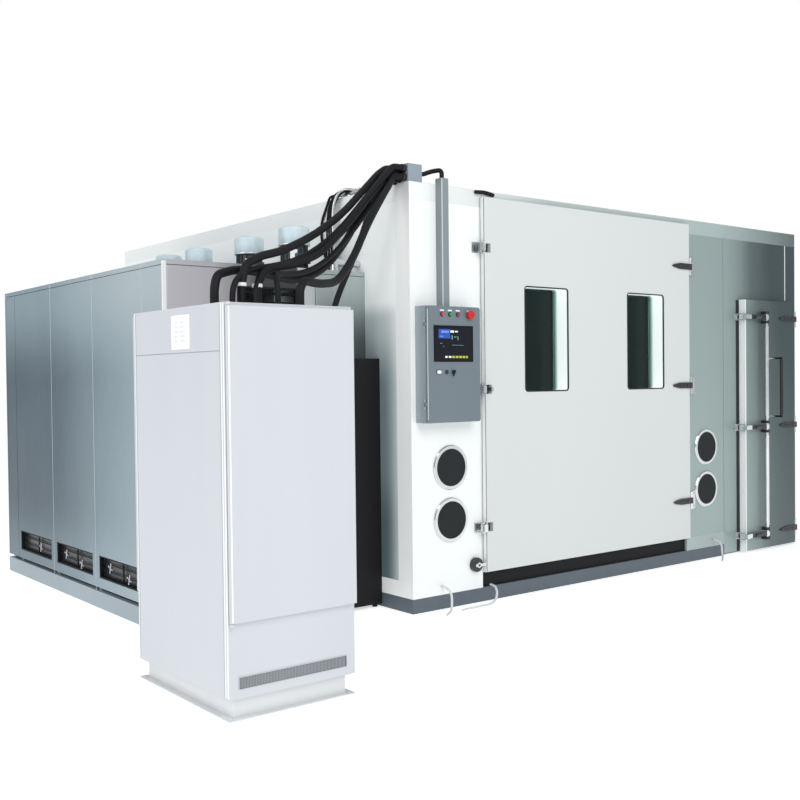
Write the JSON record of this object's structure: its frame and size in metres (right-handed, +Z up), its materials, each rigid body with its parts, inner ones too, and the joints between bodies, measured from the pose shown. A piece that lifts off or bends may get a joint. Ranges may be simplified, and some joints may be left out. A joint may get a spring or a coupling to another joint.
{
  "type": "environmental test chamber",
  "caption": "Walk-in environmental test chamber with a windowed main door, a personnel door, a side machine room with roof fans, and a separate electrical cabinet.",
  "frame": {"origin": "on the floor under the middle of the bounding box of the whole machine", "axes": "+X to the right along the chamber's front, +Y from the front towards the rear, +Z up"},
  "size_m": [6.455, 5.61, 2.915],
  "materials": {
    "white_panel": "satin white coated panel",
    "steel_panel": "brushed stainless panel",
    "roof_sheet": "light grey coated sheet",
    "frame_blue": "blue grey painted steel",
    "black_steel": "black painted steel",
    "galvanised": "matt galvanised sheet",
    "bright_steel": "polished steel",
    "seal_rubber": "silicone rubber",
    "pane_glass": "clear insulated glass",
    "box_grey": "slate grey coated sheet",
    "fitting_plastic": "dark glossy plastic",
    "button_green": "green plastic",
    "button_red": "red plastic",
    "cable_jacket": "matt black jacket",
    "hose_silver": "silver grey hose",
    "motor_dark": "dark painted castings",
    "cowl_blue": "pale blue grey sheet",
    "cabinet_paint": "pale lavender grey coat",
    "gear_plastic": "light grey switchgear",
    "wheel_steel": "zinc coated sheet"
  },
  "bodies": {
    "chamber": {"base_frame": "frame_blue", "floor_panel": "steel_panel", "door_threshold": "black_steel", "left_wall": "white_panel", "wall_panels": "steel_panel", "roof_panel": "roof_sheet", "front_left_column": "white_panel", "front_right_column": "steel_panel", "front_panels": "steel_panel", "door_frames": "steel_panel", "door_gaskets": "seal_rubber", "air_baffle": "steel_panel", "port_rings": "bright_steel", "door_brackets": "bright_steel", "drain_valve": "black_steel", "control_box": "box_grey", "conduit_channel": "white_panel", "junction_box": "frame_blue", "supply_cables": "cable_jacket", "cable_glands": "fitting_plastic", "pipe_fittings": "bright_steel", "machine_frame": "frame_blue", "machine_panels": "galvanised", "machine_roof": "galvanised", "vent_grilles": "motor_dark", "compressors": "motor_dark", "air_duct": "galvanised", "fan_motors": "motor_dark", "fan_cowls": "cowl_blue", "service_cabinet": "black_steel", "cabinet_plinth": "frame_blue", "cabinet_shell": "cabinet_paint", "switchgear": "gear_plastic", "drain_hose_left": "hose_silver", "drain_hose_sill": "hose_silver", "drain_hose_right": "hose_silver"},
    "main_door": {"main_leaf": "white_panel", "window_panes": "pane_glass", "main_hinge_straps": "black_steel"},
    "main_latch": {"main_locking_bar": "bright_steel"},
    "side_door": {"personnel_door": "steel_panel", "bolt_bearings": "black_steel", "personnel_hinge_straps": "black_steel"},
    "side_latch": {"personnel_locking_bar": "bright_steel"},
    "drain_handle": {"drain_lever": "bright_steel"},
    "control_lid": {"control_panel": "box_grey", "panel_fittings": "fitting_plastic"},
    "run_push": {"run_button": "button_green"},
    "estop_push": {"estop_button": "button_red"},
    "key_knob": {"key_switch": "fitting_plastic"},
    "cabinet_door_a": {"cabinet_front_door": "cabinet_paint"},
    "cabinet_door_b": {"cabinet_rear_door": "cabinet_paint"},
    "plug_left_low": {"port_plug_left_low": "seal_rubber"},
    "plug_left_high": {"port_plug_left_high": "seal_rubber"},
    "plug_right_low": {"port_plug_right_low": "seal_rubber"},
    "plug_right_high": {"port_plug_right_high": "seal_rubber"},
    "fan_wheel_1": {"blower_wheel_1": "wheel_steel"},
    "fan_wheel_2": {"blower_wheel_2": "wheel_steel"},
    "fan_wheel_3": {"blower_wheel_3": "wheel_steel"},
    "fan_wheel_4": {"blower_wheel_4": "wheel_steel"}
  },
  "joints": [
    {"name": "main_door_swing", "type": "hinge", "parent": "chamber", "child": "main_door", "pos_m": [1.6335, -1.679, 1.45], "axis": [0, 0, 1], "range_deg": [0, 110]},
    {"name": "main_latch_turn", "type": "hinge", "parent": "main_door", "child": "main_latch", "pos_m": [-0.6355, -1.67, 1.45], "axis": [0, 0, 1], "range_deg": [0, 75]},
    {"name": "side_door_swing", "type": "hinge", "parent": "chamber", "child": "side_door", "pos_m": [3.1405, -1.69, 1.08], "axis": [0, 0, 1], "range_deg": [0, 110]},
    {"name": "side_latch_turn", "type": "hinge", "parent": "side_door", "child": "side_latch", "pos_m": [2.6175, -1.747, 1.08], "axis": [0, 0, 1], "range_deg": [0, 75]},
    {"name": "drain_lever_turn", "type": "hinge", "parent": "chamber", "child": "drain_handle", "pos_m": [-0.7215, -1.686, 0.262], "axis": [0, 1, 0], "range_deg": [0, 90]},
    {"name": "control_lid_swing", "type": "hinge", "parent": "chamber", "child": "control_lid", "pos_m": [-1.2305, -1.746, 1.617], "axis": [0, 0, -1], "range_deg": [0, 100]},
    {"name": "run_push_travel", "type": "slide", "parent": "control_lid", "child": "run_push", "axis": [0, 1, 0], "range_m": [0, 0.004], "stiffness_N_per_m": 400},
    {"name": "estop_push_travel", "type": "slide", "parent": "control_lid", "child": "estop_push", "axis": [0, 1, 0], "range_m": [0, 0.006], "stiffness_N_per_m": 500},
    {"name": "key_knob_turn", "type": "hinge", "parent": "control_lid", "child": "key_knob", "pos_m": [-1.0005, -1.765, 1.568], "axis": [0, 1, 0], "range_deg": [0, 90]},
    {"name": "cabinet_front_door_swing", "type": "hinge", "parent": "chamber", "child": "cabinet_door_a", "pos_m": [-3.2135, -2.7915, 1.15], "axis": [0, 0, -1], "range_deg": [0, 110]},
    {"name": "cabinet_rear_door_swing", "type": "hinge", "parent": "chamber", "child": "cabinet_door_b", "pos_m": [-3.2135, -1.8155, 1.15], "axis": [0, 0, 1], "range_deg": [0, 110]},
    {"name": "port_plug_left_low_pull", "type": "slide", "parent": "chamber", "child": "plug_left_low", "axis": [0, -1, 0], "range_m": [0, 0.2]},
    {"name": "port_plug_left_high_pull", "type": "slide", "parent": "chamber", "child": "plug_left_high", "axis": [0, -1, 0], "range_m": [0, 0.2]},
    {"name": "port_plug_right_low_pull", "type": "slide", "parent": "chamber", "child": "plug_right_low", "axis": [0, -1, 0], "range_m": [0, 0.2]},
    {"name": "port_plug_right_high_pull", "type": "slide", "parent": "chamber", "child": "plug_right_high", "axis": [0, -1, 0], "range_m": [0, 0.2]},
    {"name": "fan_1_spin", "type": "hinge", "parent": "chamber", "child": "fan_wheel_1", "pos_m": [-1.6025, -0.805, 2.1], "axis": [0, 0, 1], "continuous": true},
    {"name": "fan_2_spin", "type": "hinge", "parent": "chamber", "child": "fan_wheel_2", "pos_m": [-1.6025, -0.195, 2.1], "axis": [0, 0, 1], "continuous": true},
    {"name": "fan_3_spin", "type": "hinge", "parent": "chamber", "child": "fan_wheel_3", "pos_m": [-1.6025, 0.595, 2.1], "axis": [0, 0, 1], "continuous": true},
    {"name": "fan_4_spin", "type": "hinge", "parent": "chamber", "child": "fan_wheel_4", "pos_m": [-1.6025, 1.13, 2.1], "axis": [0, 0, 1], "continuous": true}
  ]
}
